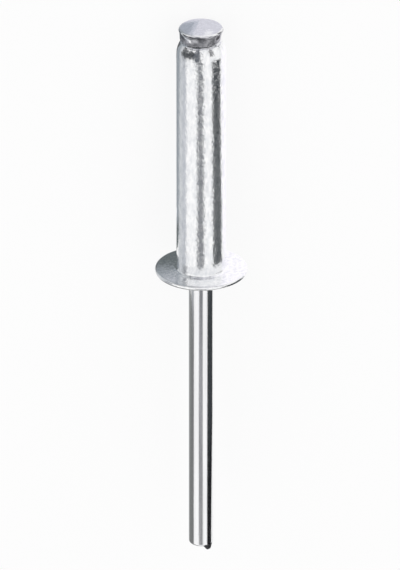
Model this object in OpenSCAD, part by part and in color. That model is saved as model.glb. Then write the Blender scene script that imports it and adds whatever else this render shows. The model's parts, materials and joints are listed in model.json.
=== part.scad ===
// Open-end blind rivet, also called a pop rivet: a cold-formed body with a
// low domed flange, and the break-stem mandrel that it is supplied on.
//
// Lengths are millimetres and +Z is up. The origin is the centre of the
// flange's bearing face. The rivet lies on a level surface as it comes to
// rest, on the rim of its flange and on the rounded blind end of its shank,
// so its axis slopes down a little towards the mandrel's head, which is at +X
// and just clear of the surface.
//
// Each piece is drawn upright, on its own axis: the bearing face at height
// 0, the mandrel's head at the top and the stem's tip at the bottom. lying()
// then lays it down.

/* [Shank] */
// Outside diameter of the shank
shank_d = 5; // [4.5:0.1:6.4]
// Length of the shank, from the bearing face to the blind end
shank_len = 25.4; // [8:0.1:40]
// Length of the rounded stretch at the blind end
shoulder_len = 1.4; // [0.5:0.05:1.5]
// How far the rounded stretch draws in at the blind end
shoulder_in = 0.43; // [0.1:0.01:0.45]
// Radius of the fillet between the shank and the bearing face
root_r = 0.3; // [0.1:0.05:0.6]

/* [Flange] */
// Diameter of the flange
flange_d = 9.4; // [9:0.1:14]
// Thickness of the flange at its rounded rim
rim_t = 0.45; // [0.3:0.05:0.9]
// Height of the flange, from the bearing face to the crown of its dome
flange_h = 1.1; // [1:0.05:2.5]

/* [Mandrel stem] */
// Diameter of the stem
stem_d = 2.5; // [2.2:0.05:2.9]
// Length of stem that stands out past the flange's crown
stem_out = 30.3; // [20:0.1:45]
// Radial gap between the stem and the bore of the body
stem_gap = 0.08; // [0.05:0.01:0.15]
// Diameter of the stem at the break neck, hidden in the bore
neck_d = 1.9; // [1:0.05:2.1]
// Distance from the underside of the mandrel's head down to the break neck
neck_below = 1.6; // [1:0.1:3]
// Length of the upset that keeps the stem in the bore, at the bore's mouth
hold_len = 0.7; // [0.6:0.05:0.9]
// Radial gap between that upset and the bore
hold_gap = 0.02; // [0.01:0.005:0.03]

/* [Mandrel head] */
// Diameter of the mandrel's head, at its widest, near the end face
head_d = 4.5; // [4.2:0.05:5]
// Diameter of the head at its lower edge, above the blind end
head_low_d = 4.1; // [3.6:0.05:4.2]
// Height of the head, from its lower edge to the middle of its end face
head_h = 1.4; // [1.2:0.05:2.5]
// Radius of the rounded edge around the end face
head_edge = 0.3; // [0.1:0.05:0.4]
// Rise of the end face from its edge to its middle
head_crown = 0.12; // [0.05:0.01:0.3]
// Height of the head's lower edge above the blind end
stand_off = 0.25; // [0.1:0.05:0.4]
// Slope of the head's underside, away from square to the axis
seat_deg = 30; // [20:1:45]
// Gap between the head's underside and the seat that it has in the body
seat_gap = 0.02; // [0.01:0.01:0.05]

/* [Stem tip] */
// Slope of the sheared tip, away from square to the axis
shear_deg = 2; // [0:0.5:15]
// Height of the burr that the shears left on the tip
burr_h = 0.45; // [0.2:0.05:0.6]
// Width of the burr at its root
burr_w = 1.1; // [0.5:0.1:1.2]
// Thickness of the burr
burr_t = 0.35; // [0.2:0.05:0.5]
// Direction of the burr around the stem, from the side that faces down
burr_turn = 218; // [0:1:359]

/* [Hidden] */
$fn = 96;

// how far a cutting shape runs past the surface that it cuts
past = 1;

// where the body's turned faces start and end, clear of the side that it rests on
seam_deg = 180;

shank_r = shank_d / 2;
flange_r = flange_d / 2;
stem_r = stem_d / 2;
neck_r = neck_d / 2;
head_r = head_d / 2;
head_low_r = head_low_d / 2;
bore_r = stem_r + stem_gap;

// The rounded stretch at the blind end is one arc, tangent to the shank.
shoulder_z = shank_len - shoulder_len;
shoulder_r = (pow(shoulder_len, 2) + pow(shoulder_in, 2)) / (2 * shoulder_in);

// The rim is a half round, and the dome is a spherical cap within it.
rim_r = rim_t / 2;
rim_at = flange_r - rim_r;
dome_h = flange_h - rim_t;
dome_r = (pow(rim_at, 2) + pow(dome_h, 2)) / (2 * dome_h);

// The head's end face is a cap that runs smoothly into the rounded edge.
low_z = shank_len + stand_off;
face_z = low_z + head_h;
edge_at = head_r - head_edge;
edge_z = face_z - head_crown - head_edge;
edge_drop = face_z - edge_z;
cap_r = (pow(edge_at, 2) + pow(edge_drop, 2) - pow(head_edge, 2)) / (2 * head_crown);
cap_to = edge_at * cap_r / (cap_r - head_edge);

// The head's underside slopes down from its lower edge to the stem.
under_z = low_z - (head_low_r - stem_r) * tan(seat_deg);
seat_z = under_z - seat_gap;
neck_z = under_z - neck_below;
neck_cut = stem_r - neck_r;

// The upset is a swelling with an arc for its section. It fills the bore's
// mouth, and its outer end stands just clear.
hold_rise = stem_gap - hold_gap;
hold_arc = (pow(hold_len / 2, 2) + pow(hold_rise, 2)) / (2 * hold_rise);
hold_proud = 0.1;
hold_z = -flange_h - hold_proud;

tip_z = -flange_h - stem_out;

// The burr's outer face is set in from the stem's wall, more so at its point,
// and its root reaches up past the slope of the tip.
burr_root_in = 0.02;
burr_point_in = 0.08;
burr_hold = 0.1;
burr_sunk = stem_r * tan(shear_deg) + burr_hold;

// The tooth's blunt point: how wide it is, and how far it leans to one side
burr_tip = 0.4;
burr_lean = 0.1;

// Slope of the line that touches the flange's rim and a round further up,
// whose centre is at height z and distance at from the axis.
function touch_deg(z, at, r) = atan2(rim_at - at, z + rim_r)
    - asin((r - rim_r) / norm([z + rim_r, rim_at - at]));

// The floor is the first of those lines: it meets the shank's rounded end, or
// the edge of the mandrel's head where that stands out further.
lie_deg = min(
    touch_deg(edge_z, edge_at, head_edge),
    touch_deg(shoulder_z, shank_r - shoulder_r, shoulder_r)
);

// Lays an upright piece on its side, with the top end towards +X and down.
module lying() {
    rotate([0, 90 + lie_deg, 0]) children();
}

// Half section of the shank, with the rounded stretch at its blind end.
module shank_section() {
    translate([bore_r, 0]) square([shank_r - bore_r, shoulder_z]);
    intersection() {
        translate([shank_r - shoulder_r, shoulder_z]) circle(r = shoulder_r);
        translate([bore_r, shoulder_z]) square([shank_r - bore_r, shoulder_len]);
    }
}

// Half section of the fillet that joins the shank to the bearing face.
module root_section() {
    difference() {
        translate([shank_r, 0]) square([root_r, root_r]);
        translate([shank_r + root_r, root_r]) circle(r = root_r);
    }
}

// Half section of the flange: a disc with a round rim and a domed top.
module flange_section() {
    translate([bore_r, -rim_t]) square([rim_at - bore_r, rim_t]);
    translate([rim_at, -rim_r]) circle(r = rim_r);
    intersection() {
        translate([0, dome_r - flange_h]) circle(r = dome_r);
        translate([bore_r, -flange_h]) square([rim_at - bore_r, dome_h]);
    }
}

// Half section of the seat that the mandrel's head has in the blind end.
module seat_section() {
    wide = past / tan(seat_deg);
    polygon([[0, seat_z], [stem_r, seat_z], [stem_r + wide, seat_z + past], [0, seat_z + past]]);
}

// The body: shank and flange, cold-formed in one piece, with a plain bore.
module rivet_body() {
    color("gainsboro") lying() rotate([0, 0, seam_deg]) rotate_extrude() difference() {
        union() {
            shank_section();
            root_section();
            flange_section();
        }
        seat_section();
    }
}

// Half section of the mandrel's head: a tapered side, a rounded edge, a
// slightly crowned end face and a sloping underside.
module head_section() {
    polygon([[0, under_z], [stem_r, under_z], [head_low_r, low_z], [head_r, edge_z], [0, edge_z]]);
    translate([0, edge_z]) square([edge_at, head_edge]);
    intersection() {
        translate([edge_at, edge_z]) circle(r = head_edge);
        translate([0, edge_z]) square([head_r, edge_drop]);
    }
    intersection() {
        translate([0, face_z - cap_r]) circle(r = cap_r);
        translate([0, edge_z]) square([cap_to, edge_drop]);
    }
}

// Half section of the V groove that makes the break neck.
module neck_section() {
    cut_r = stem_r + past;
    cut_h = neck_cut + past;
    polygon([[neck_r, neck_z], [cut_r, neck_z + cut_h], [cut_r, neck_z - cut_h]]);
}

// Half section of the stem, with the break neck and the upset.
module stem_section() {
    difference() {
        translate([0, tip_z - past]) square([stem_r, low_z - tip_z + past]);
        neck_section();
    }
    intersection() {
        translate([stem_r + hold_rise - hold_arc, hold_z + hold_len / 2]) circle(r = hold_arc);
        translate([stem_r, hold_z]) square([hold_rise, hold_len]);
    }
}

// The space below the sheared tip.
module below_tip() {
    wide = stem_d + 2 * past;
    translate([0, 0, tip_z]) rotate([shear_deg, 0, 0]) translate([0, 0, -wide / 2 - past])
        cube([wide, wide, wide + 2 * past], center = true);
}

// The burr: a small curved tooth that the stem's wall runs out into, past the
// tip. Its outer face tapers in, from the wall to the tooth's point, and its
// root is sunk in the stem.
module burr() {
    intersection() {
        translate([0, 0, tip_z - burr_h - burr_sunk])
            cylinder(r1 = stem_r - burr_point_in, r2 = stem_r - burr_root_in, h = burr_h + 2 * burr_sunk);
        rotate([0, 0, burr_turn]) translate([stem_r - burr_t, 0, tip_z]) rotate([90, 0, 90])
            linear_extrude(2 * burr_t) polygon([
                [-burr_w / 2, burr_sunk],
                [-burr_w / 2, 0],
                [burr_lean - burr_tip / 2, -burr_h],
                [burr_lean + burr_tip / 2, -burr_h],
                [burr_w / 2, 0],
                [burr_w / 2, burr_sunk]
            ]);
    }
}

// The mandrel: stem, break neck and head, headed from one length of wire.
module mandrel() {
    color("silver") lying() {
        difference() {
            rotate_extrude() union() {
                stem_section();
                head_section();
            }
            below_tip();
        }
        burr();
    }
}

rivet_body();
mandrel();
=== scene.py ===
"""Looks of an open-end blind rivet: its aluminium body and its steel mandrel, turned as fine meshes on the
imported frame. Every size is in millimetres unless its comment says otherwise."""
import json
import math

import bmesh
import bpy
import numpy as np
from mathutils import Matrix, Vector, noise


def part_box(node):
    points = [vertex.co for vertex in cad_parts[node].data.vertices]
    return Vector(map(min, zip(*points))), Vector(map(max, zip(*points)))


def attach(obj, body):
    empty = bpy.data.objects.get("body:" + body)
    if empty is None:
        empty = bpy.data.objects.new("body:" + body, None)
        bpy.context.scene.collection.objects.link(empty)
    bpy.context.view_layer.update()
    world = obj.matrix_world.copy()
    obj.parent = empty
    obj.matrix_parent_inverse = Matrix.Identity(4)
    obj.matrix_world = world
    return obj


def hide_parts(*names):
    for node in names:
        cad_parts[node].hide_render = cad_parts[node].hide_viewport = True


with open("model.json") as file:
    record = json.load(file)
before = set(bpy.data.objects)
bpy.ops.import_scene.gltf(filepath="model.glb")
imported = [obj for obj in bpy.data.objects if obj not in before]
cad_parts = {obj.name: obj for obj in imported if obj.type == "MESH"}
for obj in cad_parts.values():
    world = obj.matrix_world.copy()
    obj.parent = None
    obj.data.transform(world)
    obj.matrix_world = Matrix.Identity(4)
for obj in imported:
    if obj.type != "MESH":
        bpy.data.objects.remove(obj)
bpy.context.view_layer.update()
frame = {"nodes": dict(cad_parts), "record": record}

MM = 0.001

# The rivet's own axes: u runs along it from the bearing face towards the mandrel's head, ACROSS is to the
# side and TOP is away from the floor.
mounts = {mount["name"]: mount for mount in frame["record"]["mounts"]}
AXIS = Vector(mounts["shank"]["axis"]).normalized()
ACROSS = Vector((0, 1, 0))
TOP = AXIS.cross(ACROSS)
FLOOR_Z = min(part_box(node)[0].z for node in frame["nodes"]) / MM

# The body
SHANK_R = mounts["shank"]["dims"]["r_mm"]
SHANK_LEN = 25.4
SHOULDER_LEN = 1.4
SHOULDER_IN = 0.43
ROOT_R = 0.3
FLANGE_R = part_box("rivet_body")[1].y / MM
FLANGE_H = 1.1
RIM_T = 0.45
BORE_GAP = 0.08

# The mandrel's stem, with the swelling in the bore's mouth and the break neck
STEM_R = mounts["mandrel_stem"]["dims"]["r_mm"]
STEM_OUT = 30.3
TIP_ROUND = 0.2
SHEAR_DEG = 2
HOLD_LEN = 0.7
HOLD_RISE = 0.06
HOLD_PROUD = 0.1
NECK_R = 0.95
NECK_BELOW = 1.6

# The mandrel's head. Its lower ring lies a little to one side, and its edge has a small lip.
HEAD_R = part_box("mandrel")[1].y / MM
HEAD_LOW_R = 2.05
HEAD_H = 1.4
HEAD_EDGE = 0.3
HEAD_CROWN = 0.12
HEAD_LEAN = 0.1
LIP_H = 0.2
LIP_IN = 0.07
STAND_OFF = 0.25
SEAT_DEG = 30
SEAT_GAP = 0.02

# The burr at the stem's tip: its azimuth is from the top, towards ACROSS, and it rises over BURR_SIDE
BURR_DEG = -38
BURR_H = 0.45
BURR_W = 1.1
BURR_T = 0.35
BURR_TIP = 0.4
BURR_LEAN = 0.1
BURR_SIDE = 0.05

# The torn metal above the burr: how far it reaches up from the tip, and to each side of the burr's azimuth
TORN_H = 0.18
TORN_DEG = 24

# The mandrel's materials, and where they are. A facing is the part of a face's normal that runs along the
# axis. The shade patch and the highlight are on the head's side, at azimuths from the top: the shade patch
# is painted shade, a dark patch of the sheared steel, and the highlight is a painted highlight, a bright
# line of the drawn steel from the first u to the last.
DRAWN = 0
SHEARED_AND_SHADE = 1
HEADED = 2
SHEARED_FACING = 0.7
SIDE_FACING = 0.5
SHADE_PATCH_U = (26.1, 26.62)
SHADE_PATCH_DEG = (-66, -47)
HIGHLIGHT_U = (26.14, 26.8)
HIGHLIGHT_DEG = (30, 66)
HIGHLIGHT_HALF = 0.14

# Steps of the meshes along their profiles, the fewest steps in an arc, and how many of a rounded corner's
# steps make up its radius
FINE = 0.05
FLANGE_STEP = 0.12
SHANK_STEP = 0.1
BORE_STEP = 1.5
STEM_STEP = 0.5
TIP_STEP = 0.15
INSIDE_STEP = 0.24
SIDE_STEP = 0.06
LIP_STEP = 0.03
FACE_STEP = 0.09
ARC_STEPS = 3
CORNER_STEPS = 3

# The stretch of stem with fine rings, and the share of the head's side that is left to the coarse ones
TIP_REACH = 0.8
SIDE_START = 0.1

# Small rounds of the edges
EDGE_ROUND = 0.05
LOW_ROUND = 0.1

# How many segments the meshes have round the axis, how near points are welded, the angle from which an edge
# is sharp, and the least length that a direction is taken from
BODY_SEGMENTS = 256
MANDREL_SEGMENTS = 180
WELD = 0.0005
SHARP_DEG = 40
TINY = 1e-9

# Tumbled surface: width and height of its dents, from soft to fine, and how strong they are where
DIMPLES = ((1.1, 0.006), (0.3, 0.009))
FLANGE_DIMPLE = 0.6
RIM_DIMPLE = 0.5
SHANK_DIMPLE = 1
SIDE_DIMPLE = 1.2
LIP_DIMPLE = 0.6
FACE_DIMPLE = 1

# The parts of a noise's range that the materials use
NOISE_RANGE = (0.3, 0.7)
RAMP_RANGE = (0.35, 0.65)

# The camera: its lens and sensor, how far it looks down on the rivet, the height of its view, and the point
# that it looks at, along the axis and across it
LENS = 900
SENSOR = 36
VIEW_DEG = 26.5
VIEW_HEIGHT = 57.87
VIEW_U = -2.06
VIEW_ACROSS = 0.12

# The floor, how much of it is a plain white where it is seen, and the strength of the world's fill light
FLOOR_HALF = 6000
FLOOR_COLOUR = (0.9, 0.9, 0.9)
FLOOR_GLOW = 0.86
FILL = 0.35

# The two soft boxes: their sizes and places in metres, their angle from the zenith, and their brightness
LAMP_LONG = 1.6
LAMP_WIDE = 0.41
LAMP_AWAY = 0.4
LAMP_X = -0.1
LAMP_SIDE_DEG = 40
LAMP_LEVEL = 0.92

# The overhead cards. A station is (x, middle across, half width).
OVER_Z = 120
OVER_STATIONS = (
    (-86, 8, 38),
    (-66, 8, 38),
    (-52, 7.5, 38),
    (-47.5, -2, 29),
    (-43, -2, 29),
    (-33, 7, 29),
    (-25, 13, 29),
    (-12, 14, 29),
)
OVER_TONES = (
    (0.24, 0.24, 0.25),
    (0.36, 0.36, 0.38),
    (0.14, 0.145, 0.155),
    (0.1, 0.105, 0.115),
    (0.36, 0.37, 0.39),
    (0.17, 0.18, 0.2),
    (0.1, 0.105, 0.12),
)

# The hood's flat cards around the head: each has its two sides as angles from the zenith, towards ACROSS,
# its two ends along x, and its tone
HOOD_R = 20
HOOD_CARDS = {
    "hood_0": ((-64, -44), (26, 44), (0.2, 0.2, 0.21)),
    "hood_2": ((0, 10), (20, 36), (0.16, 0.17, 0.19)),
    "hood_3": ((10, 36), (19, 58), (0.14, 0.15, 0.17)),
    "hood_4": ((36, 66), (25, 36), (0.07, 0.075, 0.08)),
    "hood_5": ((66, 96), (24.5, 32), (0.08, 0.085, 0.09)),
}

# The row of cards at the right, each with a mat. A station is (x, card's height, x and y of the mat's inner
# corner).
RIGHT_Y = -60
RIGHT_STATIONS = (
    (3, 60, 9, -38),
    (-12, 52, 3, -26),
    (-23, 46.5, -1.1, -16),
    (-30, 40, -8.5, -22),
    (-33, 41.5, -5.3, -7.4),
    (-50, 46.5, -22.8, -9.1),
    (-72, 52, -46, -26),
)
RIGHT_TONES = (
    (0.05, 0.055, 0.06),
    (0.15, 0.16, 0.165),
    (0.13, 0.14, 0.145),
    (0.04, 0.045, 0.05),
    (0.045, 0.05, 0.055),
    (0.01, 0.01, 0.012),
)

# Upright cards: the two (x, y) points of the foot, the heights above them, and the tone
UPRIGHTS = {
    "left_body": (((-32, 60), (1, 60)), (24, 24), (0.56, 0.58, 0.62)),
    "left_front": (((1, 60), (44, 60)), (24, 24), (0.3, 0.31, 0.33)),
    "left_stem": (((-120, 60), (-32, 60)), (28, 28), (0.2, 0.205, 0.205)),
    "left_head": (((21, 20), (31.5, 20)), (24, 24), (0.1, 0.105, 0.11)),
    "behind_low": (((-300, -400), (-300, 400)), (150, 150), (0.03, 0.033, 0.036)),
    "ahead": (((90, -90), (90, 90)), (60, 60), (0.66, 0.66, 0.7)),
}

# Mats just over the floor: the four (x, y) corners, the tone and the layer that the mat lies in. They show
# only in reflections. left_near, face, face_grey and face_dark are painted shade of the floor beside the
# rivet and in front of the head, and right_white is painted light that glows brighter than the floor.
MAT_LIFT = 0.02
MATS = {
    "left_near": (((-1, 1.9), (1.9, 1.9), (1.9, 9), (-1, 9)), (0.14, 0.16, 0.165), 1),
    "left_mid": (((1.9, 1.9), (40, 1.9), (40, 9), (1.9, 9)), (0.33, 0.36, 0.39), 1),
    "left_light": (((3.05, 1.9), (4.2, 1.9), (4.2, 4.2), (3.05, 4.2)), (0.66, 0.67, 0.72), 2),
    "left_shoulder": (((20, 1.9), (24.4, 1.9), (24.8, 4.5), (28, 7)), (0.1, 0.105, 0.11), 2),
    "left_body_floor": (((-6, 9), (60, 9), (60, 60), (-32, 60)), (0.62, 0.64, 0.66), 1),
    "left_stem_edge": (((-50, 1), (-3, 1), (-8, 10), (-50, 10)), (0.36, 0.37, 0.37), 1),
    "left_stem_floor": (((-120, 10), (-8, 10), (-33, 60), (-120, 60)), (0.2, 0.205, 0.205), 1),
    "right_white": (((-2, -1.9), (24, -1.9), (24, -14), (-2, -14)), (1.07, 1.05, 1.1), 1),
    "face": (((26.3, -3.2), (31.2, -3.2), (31.2, 3.4), (26.3, 3.4)), (0.7, 0.7, 0.77), 1),
    "face_dark": (((27.1, 0.7), (29.8, 1.8), (29.8, 3.4), (27.1, 3.4)), (0.39, 0.42, 0.48), 3),
    "face_grey": (((26.9, 0.2), (30.1, 1.4), (30.1, 3.4), (26.9, 3.4)), (0.54, 0.56, 0.63), 2),
    "right_spot": (((27, -6), (33, -6), (33, -14), (27, -14)), (0.04, 0.045, 0.05), 1),
    "face_light": (((28.6, -0.6), (31.2, -0.2), (31.2, -1.7), (28.6, -1.5)), (0.88, 0.88, 0.92), 2),
}

# Derived sizes of the body
BORE_R = STEM_R + BORE_GAP
RIM_R = RIM_T / 2
RIM_AT = FLANGE_R - RIM_R
DOME_H = FLANGE_H - RIM_T
DOME_R = (RIM_AT ** 2 + DOME_H ** 2) / (2 * DOME_H)
MOUTH_U = DOME_R - FLANGE_H - math.sqrt(DOME_R ** 2 - BORE_R ** 2)
SHOULDER_U = SHANK_LEN - SHOULDER_LEN
SHOULDER_R = (SHOULDER_LEN ** 2 + SHOULDER_IN ** 2) / (2 * SHOULDER_IN)

# Derived sizes of the mandrel
TIP_U = -FLANGE_H - STEM_OUT
LOW_U = SHANK_LEN + STAND_OFF
FACE_U = LOW_U + HEAD_H
EDGE_U = FACE_U - HEAD_CROWN - HEAD_EDGE
EDGE_AT = HEAD_R - HEAD_EDGE
EDGE_DROP = FACE_U - EDGE_U
CAP_R = (EDGE_AT ** 2 + EDGE_DROP ** 2 - HEAD_EDGE ** 2) / (2 * HEAD_CROWN)
CAP_DEG = math.degrees(math.atan2(EDGE_AT, EDGE_U - FACE_U + CAP_R))
SEAT_SLOPE = math.tan(math.radians(SEAT_DEG))
UNDER_U = LOW_U - (HEAD_LOW_R - STEM_R) * SEAT_SLOPE
SEAT_U = UNDER_U - SEAT_GAP
NECK_U = UNDER_U - NECK_BELOW
NECK_CUT = STEM_R - NECK_R
HOLD_U = -FLANGE_H - HOLD_PROUD
HOLD_ARC = ((HOLD_LEN / 2) ** 2 + HOLD_RISE ** 2) / (2 * HOLD_RISE)
BURR_ROOT = TIP_ROUND * 1.5


def line(start, end, step, dimple=0.0):
    """Profile points from start up to end, end left out. dimple says how strong the dents there are."""
    count = max(1, round(math.dist(start, end) / step))
    away = (end[0] - start[0], end[1] - start[1])
    return [(start[0] + away[0] * i / count, start[1] + away[1] * i / count, dimple) for i in range(count)]


def arc(centre, radius, first, last, step, dimple=0.0):
    """Profile points on an arc, from the angle first up to last in degrees, where 0 is along the axis."""
    count = max(ARC_STEPS, round(radius * math.radians(abs(last - first)) / step))
    angles = [math.radians(first + (last - first) * i / count) for i in range(count)]
    return [(centre[0] + radius * math.cos(a), centre[1] + radius * math.sin(a), dimple) for a in angles]


def corner(before, at, after, radius, step):
    """Profile points of a rounded corner between two straight stretches."""
    at = Vector(at)
    into = (Vector(before) - at).normalized()
    out = (Vector(after) - at).normalized()
    half = into.angle(out) / 2
    centre = at + (into + out).normalized() * radius / math.sin(half)
    first = at + into * radius / math.tan(half) - centre
    last = at + out * radius / math.tan(half) - centre
    first_deg = math.degrees(math.atan2(first.y, first.x))
    turn = math.degrees(math.atan2(last.y, last.x)) - first_deg
    turn = (turn + 180) % 360 - 180
    return arc(centre, radius, first_deg, first_deg + turn, step)


def path(stops, step):
    """Profile points along straight stretches. A stop is (u, r, radius of the corner there), and both ends
    are sharp."""
    points = []
    here = stops[0][:2]
    for before, at, after in zip(stops, stops[1:], stops[2:]):
        bend = corner(before[:2], at[:2], after[:2], at[2], at[2] / CORNER_STEPS)
        points += line(here, bend[0][:2], step) + bend
        here = bend[-1][:2]
    return points + line(here, stops[-1][:2], step)


def ring_normals(profile, closed):
    """The outward normal of each ring, as its parts along and out from the axis."""
    points = np.array([point[:2] for point in profile])
    if closed:
        ahead = np.roll(points, -1, axis=0)
        behind = np.roll(points, 1, axis=0)
    else:
        ahead = np.vstack([points[1:], points[-1:]])
        behind = np.vstack([points[:1], points[:-1]])
    along = ahead - behind
    along /= np.maximum(np.linalg.norm(along, axis=1), TINY)[:, None]
    return np.stack([-along[:, 1], along[:, 0]], axis=1)


def dimples(place):
    """Height of the tumbled surface at a place: soft dents, with finer ones on them."""
    return sum(size * noise.noise(place / wide) for wide, size in DIMPLES)


def ring_points(profile, segments, closed):
    """The points of all rings, each as (u, across, up) in the rivet's own axes, with the dents."""
    normals = ring_normals(profile, closed)
    angles = np.arange(segments) * 2 * math.pi / segments
    across = np.sin(angles)
    up = np.cos(angles)
    rows = []
    for (u, r, dimple), (normal_u, normal_r) in zip(profile, normals):
        row = np.stack([np.full(segments, u), r * across, r * up], axis=1)
        if dimple:
            lift = [dimple * dimples(Vector(point)) for point in row]
            way = np.stack([np.full(segments, normal_u), normal_r * across, normal_r * up], axis=1)
            row = row + way * np.array(lift)[:, None]
        rows.append(row)
    return np.concatenate(rows)


def ring_faces(count, segments, closed):
    """The four-cornered faces between count rings. A closed profile joins its last ring to its first."""
    faces = []
    for ring in range(count if closed else count - 1):
        low = ring * segments
        high = (ring + 1) % count * segments
        for i in range(segments):
            j = (i + 1) % segments
            faces.append((low + i, low + j, high + j, high + i))
    return faces


def turned(name, points, faces):
    """A mesh object of points in the rivet's own axes, with its doubled points welded."""
    axes = np.array([AXIS, ACROSS, TOP])
    mesh = bpy.data.meshes.new(name)
    mesh.from_pydata((points @ axes * MM).tolist(), [], faces)
    shape = bmesh.new()
    shape.from_mesh(mesh)
    bmesh.ops.remove_doubles(shape, verts=shape.verts, dist=WELD * MM)
    bmesh.ops.recalc_face_normals(shape, faces=shape.faces)
    shape.to_mesh(mesh)
    shape.free()
    mesh.shade_smooth()
    mesh.set_sharp_from_angle(angle=math.radians(SHARP_DEG))
    piece = bpy.data.objects.new(name, mesh)
    bpy.context.scene.collection.objects.link(piece)
    return piece


def flange_profile():
    """Profile of the flange, from the bore's mouth over the dome and the rim to the fillet at the shank."""
    dome_at = (DOME_R - FLANGE_H, 0)
    dome_start = BORE_R + 2 * EDGE_ROUND
    dome_u = dome_at[0] - math.sqrt(DOME_R ** 2 - dome_start ** 2)
    mouth = corner((0, BORE_R), (MOUTH_U, BORE_R), (dome_u, dome_start), EDGE_ROUND, FINE)
    first = 180 - math.degrees(math.asin(dome_start / DOME_R))
    last = 180 - math.degrees(math.asin(RIM_AT / DOME_R))
    dome = arc(dome_at, DOME_R, first, last, FLANGE_STEP, FLANGE_DIMPLE)
    rim = arc((-RIM_R, RIM_AT), RIM_R, 180, 0, FINE, RIM_DIMPLE)
    bearing = line((0, RIM_AT), (0, SHANK_R + ROOT_R), FLANGE_STEP, FLANGE_DIMPLE)
    root = arc((ROOT_R, SHANK_R + ROOT_R), ROOT_R, 180, 270, FINE, FLANGE_DIMPLE)
    return mouth + dome + rim + bearing + root


def body_profile():
    """Closed profile of the body: over the flange, along the shank, round the seat and down the bore."""
    shank = line((ROOT_R, SHANK_R), (SHOULDER_U, SHANK_R), SHANK_STEP, SHANK_DIMPLE)
    end_deg = math.degrees(math.acos(SHOULDER_LEN / SHOULDER_R))
    shoulder = arc((SHOULDER_U, SHANK_R - SHOULDER_R), SHOULDER_R, 90, end_deg, FINE, SHANK_DIMPLE)
    seat_r = STEM_R + (SHANK_LEN - SEAT_U) / SEAT_SLOPE
    bore_end = SEAT_U + (BORE_R - STEM_R) * SEAT_SLOPE
    end_and_bore = path([
        (SHANK_LEN - EDGE_ROUND, SHANK_R - SHOULDER_IN + EDGE_ROUND, 0),
        (SHANK_LEN, SHANK_R - SHOULDER_IN, EDGE_ROUND / 2),
        (SHANK_LEN, seat_r, EDGE_ROUND / 2),
        (bore_end, BORE_R, EDGE_ROUND / 2),
        (MOUTH_U + 2 * EDGE_ROUND, BORE_R, 0),
    ], BORE_STEP)
    return flange_profile() + shank + shoulder[:-1] + end_and_bore


def stem_profile():
    """Profile of the stem's bare stretch, from the middle of the tip to the end of the swelling."""
    tooth_r = STEM_R - BURR_T - 2 * BURR_SIDE
    edge_r = STEM_R - TIP_ROUND
    tip = line((TIP_U, 0), (TIP_U, tooth_r), TIP_STEP) + line((TIP_U, tooth_r), (TIP_U, edge_r), FINE)
    tip_edge = arc((TIP_U + TIP_ROUND, edge_r), TIP_ROUND, 180, 90, FINE)
    near_tip = line((TIP_U + TIP_ROUND, STEM_R), (TIP_U + TIP_REACH, STEM_R), FINE)
    stem = line((TIP_U + TIP_REACH, STEM_R), (HOLD_U, STEM_R), STEM_STEP)
    hold_deg = math.degrees(math.asin(HOLD_LEN / 2 / HOLD_ARC))
    hold_at = (HOLD_U + HOLD_LEN / 2, STEM_R + HOLD_RISE - HOLD_ARC)
    hold = arc(hold_at, HOLD_ARC, 90 + hold_deg, 90 - hold_deg, FINE)
    return tip + tip_edge + near_tip + stem + hold


def head_profile():
    """Profile of the mandrel from the swelling's end, by the break neck, to the middle of the end face."""
    inside = path([
        (HOLD_U + HOLD_LEN, STEM_R, 0),
        (NECK_U - NECK_CUT, STEM_R, EDGE_ROUND),
        (NECK_U, NECK_R, EDGE_ROUND),
        (NECK_U + NECK_CUT, STEM_R, EDGE_ROUND),
        (UNDER_U, STEM_R, EDGE_ROUND / 2),
        (LOW_U, HEAD_LOW_R, LOW_ROUND),
        (EDGE_U, HEAD_R, 0),
    ], INSIDE_STEP)
    side_h = EDGE_U - LOW_U
    side_out = HEAD_R - HEAD_LOW_R
    side_from = (LOW_U + side_h * SIDE_START, HEAD_LOW_R + side_out * SIDE_START)
    inside = [point for point in inside if point[0] < side_from[0]]
    lip = (EDGE_U - LIP_H, HEAD_R - LIP_IN - side_out * LIP_H / side_h)
    side = line(side_from, lip, SIDE_STEP, SIDE_DIMPLE) + line(lip, (EDGE_U, HEAD_R), LIP_STEP, LIP_DIMPLE)
    edge = arc((EDGE_U, EDGE_AT), HEAD_EDGE, 90, CAP_DEG, FINE, FACE_DIMPLE)
    cap = arc((FACE_U - CAP_R, 0), CAP_R, CAP_DEG, 0, FACE_STEP, FACE_DIMPLE)
    return inside + side + edge + cap + [(FACE_U, 0, 0)]


def shape_mandrel(points):
    """Slopes the sheared tip, pulls the burr's tooth out of its edge and sets the head's lower edge off the
    axis."""
    u, across, up = points.T.copy()
    near_tip = np.clip((TIP_U + TIP_REACH - u) / TIP_REACH, 0, 1)
    r = np.hypot(across, up)
    turn = np.degrees(np.arctan2(across, up)) - BURR_DEG
    turn = (turn + 180) % 360 - 180
    along = -np.radians(turn) * STEM_R
    rising = np.clip((along + BURR_W / 2) / (BURR_W / 2 + BURR_LEAN - BURR_TIP / 2), 0, 1)
    falling = np.clip((BURR_W / 2 - along) / (BURR_W / 2 - BURR_LEAN - BURR_TIP / 2), 0, 1)
    inner = np.clip((r - (STEM_R - BURR_T - BURR_SIDE)) / BURR_SIDE, 0, 1)
    near_edge = np.clip((TIP_U + BURR_ROOT - u) / TIP_ROUND, 0, 1)
    tooth = np.minimum(rising, falling) * inner * near_edge * BURR_H
    u = u + near_tip * across * math.tan(math.radians(SHEAR_DEG)) - tooth
    across = across + np.interp(points[:, 0], [SHANK_LEN, LOW_U, FACE_U], [0, HEAD_LEAN, 0])
    return np.stack([u, across, up], axis=1)


def link(tree, source, target):
    """Joins two sockets of a node tree."""
    tree.links.new(source, target)


def new_material(name):
    """An empty node material, its tree and its output node."""
    material = bpy.data.materials.new(name)
    material.use_nodes = True
    tree = material.node_tree
    tree.nodes.clear()
    output = tree.nodes.new("ShaderNodeOutputMaterial")
    return material, tree, output


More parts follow.
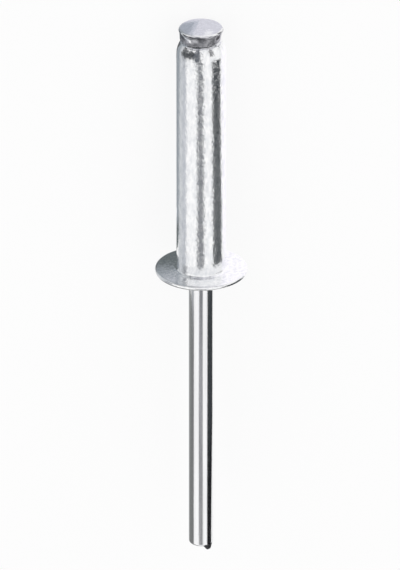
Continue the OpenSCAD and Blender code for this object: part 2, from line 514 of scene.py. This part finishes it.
def grain(tree, size, stretch, detail=3.0):
    """A noise texture in the rivet's own axes. size is the width of its features in millimetres, and stretch
    how many times longer they are along the axis."""
    where = tree.nodes.new("ShaderNodeTexCoord")
    turn = tree.nodes.new("ShaderNodeMapping")
    turn.inputs["Rotation"].default_value = (0, -math.atan2(-AXIS.z, AXIS.x), 0)
    shrink = tree.nodes.new("ShaderNodeMapping")
    across = 1 / (size * MM)
    shrink.inputs["Scale"].default_value = (across / stretch, across, across)
    texture = tree.nodes.new("ShaderNodeTexNoise")
    texture.inputs["Scale"].default_value = 1
    texture.inputs["Detail"].default_value = detail
    link(tree, where.outputs["Object"], turn.inputs["Vector"])
    link(tree, turn.outputs["Vector"], shrink.inputs["Vector"])
    link(tree, shrink.outputs["Vector"], texture.inputs["Vector"])
    return texture.outputs["Fac"]


def spread(tree, value, low, high):
    """Maps the middle of a noise onto the range from low to high."""
    node = tree.nodes.new("ShaderNodeMapRange")
    node.inputs["From Min"].default_value = NOISE_RANGE[0]
    node.inputs["From Max"].default_value = NOISE_RANGE[1]
    node.inputs["To Min"].default_value = low
    node.inputs["To Max"].default_value = high
    link(tree, value, node.inputs["Value"])
    return node.outputs["Result"]


def metal(name, colours, patch, polish, polish_grain, bump_grain, bump_height):
    """A metal whose colour varies between two colours over patches, and whose roughness varies over the
    range polish. A patch or grain is what grain() takes: size, stretch and detail."""
    material, tree, output = new_material(name)
    shader = tree.nodes.new("ShaderNodeBsdfPrincipled")
    shader.inputs["Metallic"].default_value = 1
    ramp = tree.nodes.new("ShaderNodeValToRGB")
    for stop, position, colour in zip(ramp.color_ramp.elements, RAMP_RANGE, colours):
        stop.position = position
        stop.color = (*colour, 1)
    link(tree, grain(tree, *patch), ramp.inputs["Fac"])
    link(tree, ramp.outputs["Color"], shader.inputs["Base Color"])
    link(tree, spread(tree, grain(tree, *polish_grain), *polish), shader.inputs["Roughness"])
    bump = tree.nodes.new("ShaderNodeBump")
    bump.inputs["Strength"].default_value = 1
    bump.inputs["Distance"].default_value = bump_height * MM
    link(tree, grain(tree, *bump_grain), bump.inputs["Height"])
    link(tree, bump.outputs["Normal"], shader.inputs["Normal"])
    link(tree, shader.outputs["BSDF"], output.inputs["Surface"])
    return material


def tumbled_aluminium():
    """The body's bright aluminium, with short tumbling marks."""
    return metal(
        "tumbled_aluminium",
        colours=((0.84, 0.85, 0.87), (0.985, 0.985, 0.99)),
        patch=(0.4, 2.5, 3.0),
        polish=(0.12, 0.26),
        polish_grain=(0.4, 1),
        bump_grain=(0.22, 1.3),
        bump_height=0.02,
    )


def drawn_steel():
    """The stem's bright steel, with fine lines along it from the drawing die."""
    return metal(
        "drawn_steel",
        colours=((0.87, 0.87, 0.88), (0.95, 0.95, 0.96)),
        patch=(0.3, 40, 2.0),
        polish=(0.13, 0.19),
        polish_grain=(0.1, 30),
        bump_grain=(0.05, 60),
        bump_height=0.0002,
    )


def sheared_steel():
    """The dark, rough steel of the sheared tip. It also paints a patch of painted shade on the head's side.
    """
    return metal(
        "sheared_steel",
        colours=((0.03, 0.03, 0.033), (0.14, 0.14, 0.15)),
        patch=(0.1, 1, 2.0),
        polish=(0.4, 0.6),
        polish_grain=(0.05, 1),
        bump_grain=(0.04, 1),
        bump_height=0.002,
    )


def headed_steel():
    """The dull, blotchy steel of the head's side."""
    return metal(
        "headed_steel",
        colours=((0.14, 0.14, 0.155), (0.6, 0.6, 0.63)),
        patch=(0.8, 0.7, 2.5),
        polish=(0.32, 0.45),
        polish_grain=(0.15, 1),
        bump_grain=(0.1, 1),
        bump_height=0.002,
    )


def mandrel_material(face):
    """Which of the mandrel's materials a face has."""
    u = Vector(face.center).dot(AXIS) / MM
    facing = Vector(face.normal).dot(AXIS)
    azimuth = math.degrees(math.atan2(face.center.y, Vector(face.center).dot(TOP)))
    cut = u < TIP_U + TIP_ROUND and facing < -SHEARED_FACING
    torn = u < TIP_U + TORN_H and abs(azimuth - BURR_DEG) < TORN_DEG
    # The shade patch is painted shade: a dark patch of the sheared steel on the head's side, under the
    # face's edge.
    shade_patch = SHADE_PATCH_U[0] < u < SHADE_PATCH_U[1] and SHADE_PATCH_DEG[0] < azimuth < SHADE_PATCH_DEG[1]
    # The highlight is a painted highlight: a band of the bright drawn steel across the dull side of the
    # head.
    highlight_off = abs(u - np.interp(azimuth, HIGHLIGHT_DEG, HIGHLIGHT_U))
    highlight = highlight_off < HIGHLIGHT_HALF and HIGHLIGHT_DEG[0] < azimuth < HIGHLIGHT_DEG[1]
    head_side = u > LOW_U + LOW_ROUND / 2 and facing < SIDE_FACING
    if cut or torn or (head_side and shade_patch):
        return SHEARED_AND_SHADE
    if head_side and not highlight:
        return HEADED
    return DRAWN


def plane(name, corners):
    """A flat four-cornered mesh object that is part of the studio."""
    mesh = bpy.data.meshes.new(name)
    mesh.from_pydata([tuple(Vector(corner_at) * MM) for corner_at in corners], [], [(0, 1, 2, 3)])
    thing = bpy.data.objects.new(name, mesh)
    bpy.context.scene.collection.objects.link(thing)
    return thing


def card(name, corners, tone):
    """A card beside the rivet that shows only in its reflections."""
    thing = plane(name, corners)
    material, tree, output = new_material(name)
    glow = tree.nodes.new("ShaderNodeEmission")
    glow.inputs["Color"].default_value = (*tone, 1)
    link(tree, glow.outputs["Emission"], output.inputs["Surface"])
    thing.data.materials.append(material)
    thing.visible_camera = False
    thing.visible_diffuse = False
    thing.visible_transmission = False
    thing.visible_shadow = False


def seen(tree):
    """1 for rays from the camera, off gloss and through glass, and 0 for the rays that light the scene."""
    path_node = tree.nodes.new("ShaderNodeLightPath")
    either = tree.nodes.new("ShaderNodeMath")
    either.operation = "MAXIMUM"
    link(tree, path_node.outputs["Is Camera Ray"], either.inputs[0])
    link(tree, path_node.outputs["Is Glossy Ray"], either.inputs[1])
    all_three = tree.nodes.new("ShaderNodeMath")
    all_three.operation = "MAXIMUM"
    link(tree, either.outputs["Value"], all_three.inputs[0])
    link(tree, path_node.outputs["Is Transmission Ray"], all_three.inputs[1])
    return all_three.outputs["Value"]


def build_world():
    """White where it is seen, and a dim fill where it lights the scene."""
    world = bpy.data.worlds.new("studio")
    bpy.context.scene.world = world
    world.use_nodes = True
    tree = world.node_tree
    background = tree.nodes["Background"]
    background.inputs["Color"].default_value = (1, 1, 1, 1)
    strength = tree.nodes.new("ShaderNodeMapRange")
    strength.inputs["To Min"].default_value = FILL
    strength.inputs["To Max"].default_value = 1
    link(tree, seen(tree), strength.inputs["Value"])
    link(tree, strength.outputs["Result"], background.inputs["Strength"])


def build_floor():
    """A large pale floor. It is partly a plain white where it is seen, and keeps the rivet's soft shadow."""
    corners = [(-FLOOR_HALF, -FLOOR_HALF, FLOOR_Z), (FLOOR_HALF, -FLOOR_HALF, FLOOR_Z)]
    corners += [(FLOOR_HALF, FLOOR_HALF, FLOOR_Z), (-FLOOR_HALF, FLOOR_HALF, FLOOR_Z)]
    floor = plane("floor", corners)
    material, tree, output = new_material("pale_floor")
    paint = tree.nodes.new("ShaderNodeBsdfDiffuse")
    paint.inputs["Color"].default_value = (*FLOOR_COLOUR, 1)
    glow = tree.nodes.new("ShaderNodeEmission")
    glow.inputs["Color"].default_value = (1, 1, 1, 1)
    glow.inputs["Strength"].default_value = 1
    share = tree.nodes.new("ShaderNodeMath")
    share.operation = "MULTIPLY"
    share.inputs[1].default_value = FLOOR_GLOW
    link(tree, seen(tree), share.inputs[0])
    both = tree.nodes.new("ShaderNodeMixShader")
    link(tree, share.outputs["Value"], both.inputs["Fac"])
    link(tree, paint.outputs["BSDF"], both.inputs[1])
    link(tree, glow.outputs["Emission"], both.inputs[2])
    link(tree, both.outputs["Shader"], output.inputs["Surface"])
    floor.data.materials.append(material)


def lamp(name, side_deg):
    """A soft box over the rivet, side_deg from the zenith towards ACROSS. Gloss shows the plain white world
    in its place."""
    light = bpy.data.lights.new(name, "AREA")
    light.shape = "RECTANGLE"
    light.size = LAMP_LONG
    light.size_y = LAMP_WIDE
    light.energy = LAMP_LEVEL * math.pi * LAMP_LONG * LAMP_WIDE
    box = bpy.data.objects.new(name, light)
    side = math.radians(side_deg)
    along = Vector((1, 0, 0))
    away = Vector((0, math.sin(side), math.cos(side)))
    turn = Matrix((along, away.cross(along), away)).transposed().to_4x4()
    box.matrix_world = Matrix.Translation(along * LAMP_X + away * LAMP_AWAY) @ turn
    bpy.context.scene.collection.objects.link(box)
    box.visible_camera = False
    box.visible_glossy = False


def build_camera():
    """A long lens, so that the lines of the rivet stay nearly parallel, as far away as the view's height
    needs."""
    rise = math.radians(VIEW_DEG)
    back = TOP * math.cos(rise) + AXIS * math.sin(rise)
    upward = AXIS * math.cos(rise) - TOP * math.sin(rise)
    right = upward.cross(back)
    data = bpy.data.cameras.new("camera")
    data.lens = LENS
    data.sensor_width = SENSOR
    data.sensor_height = SENSOR
    camera = bpy.data.objects.new("camera", data)
    away = LENS * VIEW_HEIGHT / SENSOR
    target = AXIS * VIEW_U + ACROSS * VIEW_ACROSS
    turn = Matrix((right, upward, back)).transposed().to_4x4()
    camera.matrix_world = Matrix.Translation((target + back * away) * MM) @ turn
    bpy.context.scene.collection.objects.link(camera)
    bpy.context.scene.camera = camera


def upright(name, foot, tops, tone):
    """An upright card that stands on the floor between the two (x, y) points of its foot."""
    (x0, y0), (x1, y1) = foot
    corners = [(x0, y0, FLOOR_Z), (x1, y1, FLOOR_Z)]
    corners += [(x1, y1, FLOOR_Z + tops[1]), (x0, y0, FLOOR_Z + tops[0])]
    card(name, corners, tone)


def mat(name, outline, tone, layer):
    """A card lying just over the floor, with its four corners as (x, y)."""
    card(name, [(x, y, FLOOR_Z + layer * MAT_LIFT) for x, y in outline], tone)


def build_over_cards():
    """A long narrow row of cards overhead."""
    for i, (near, far) in enumerate(zip(OVER_STATIONS, OVER_STATIONS[1:])):
        corners = [
            (near[0], near[1] - near[2], OVER_Z),
            (far[0], far[1] - far[2], OVER_Z),
            (far[0], far[1] + far[2], OVER_Z),
            (near[0], near[1] + near[2], OVER_Z),
        ]
        card(f"over_{i}", corners, OVER_TONES[i])


def build_hood():
    """An arch of flat cards around the rivet's axis, near the mandrel's head."""
    for name, (sides, (near, far), tone) in HOOD_CARDS.items():
        angles = [math.radians(side) for side in sides]
        here, there = [(math.sin(angle) * HOOD_R, math.cos(angle) * HOOD_R) for angle in angles]
        card(name, [(near, *here), (far, *here), (far, *there), (near, *there)], tone)


def build_right_cards():
    """A row of dark cards at the right, each with a mat that runs from its foot towards the rivet."""
    for i, (near, far) in enumerate(zip(RIGHT_STATIONS, RIGHT_STATIONS[1:])):
        foot = [(near[0], RIGHT_Y), (far[0], RIGHT_Y)]
        upright(f"right_{i}", foot, (near[1], far[1]), RIGHT_TONES[i])
        mat(f"right_mat_{i}", [foot[0], foot[1], far[2:], near[2:]], RIGHT_TONES[i], 1)


def build_cards():
    """The dark, grey and white cards that the polished metal shows as its stripes."""
    build_over_cards()
    build_hood()
    build_right_cards()
    for name, (foot, tops, tone) in UPRIGHTS.items():
        upright(name, foot, tops, tone)
    for name, (outline, tone, layer) in MATS.items():
        mat(name, outline, tone, layer)


def build_body():
    """The rivet's body, in place of its CAD node."""
    profile = body_profile()
    points = ring_points(profile, BODY_SEGMENTS, True)
    body = turned("body", points, ring_faces(len(profile), BODY_SEGMENTS, True))
    body.data.materials.append(tumbled_aluminium())
    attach(body, "root")
    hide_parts("rivet_body")


def build_mandrel():
    """The mandrel, in place of its CAD node. Its materials are, in this order, the drawn steel, the sheared
    steel, which also paints the patch of painted shade, and the headed steel.
    """
    profile = stem_profile() + head_profile()
    points = shape_mandrel(ring_points(profile, MANDREL_SEGMENTS, False))
    mandrel = turned("pull_mandrel", points, ring_faces(len(profile), MANDREL_SEGMENTS, False))
    for material in (drawn_steel(), sheared_steel(), headed_steel()):
        mandrel.data.materials.append(material)
    for face in mandrel.data.polygons:
        face.material_index = mandrel_material(face)
    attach(mandrel, "root")
    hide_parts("mandrel")


build_camera()
build_world()
build_floor()
lamp("lamp_left", LAMP_SIDE_DEG)
lamp("lamp_right", -LAMP_SIDE_DEG)
build_cards()
build_body()
build_mandrel()

bpy.context.scene.view_settings.view_transform = "Standard"
